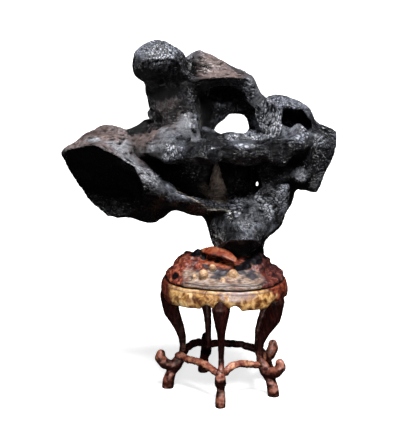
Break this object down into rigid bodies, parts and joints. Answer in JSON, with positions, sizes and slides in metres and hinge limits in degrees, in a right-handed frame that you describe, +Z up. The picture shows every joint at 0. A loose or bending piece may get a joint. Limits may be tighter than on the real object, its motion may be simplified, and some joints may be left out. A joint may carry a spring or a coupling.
{
  "type": "scholar's rock on a carved wooden stand",
  "caption": "Dark pierced viewing stone with a leaning head, a broad wedge and a window, resting on a carved wooden stand with curved legs and stretchers.",
  "frame": {"origin": "on the surface it stands on, under the middle of the whole object's box", "axes": "+Z up, -Y to the front, +X to the right as the front is seen"},
  "size_m": [0.3273, 0.1634, 0.4308],
  "materials": {
    "stone": "dark limestone, wrinkled and softly polished by handling",
    "mound": "carved burl, stained and waxed",
    "apron": "golden burl, waxed",
    "leg": "dark rosewood, waxed",
    "stretcher": "reddish wood, waxed"
  },
  "bodies": {
    "root": {"stone": "stone", "stand_top": "mound", "apron": "apron", "leg_front": "leg", "leg_right": "leg", "leg_back_right": "leg", "leg_back_left": "leg", "leg_left": "leg", "stretcher_front_left": "stretcher", "stretcher_front_right": "stretcher", "stretcher_left_back": "stretcher", "stretcher_back": "stretcher", "stretcher_right_back": "stretcher"}
  },
  "joints": []
}
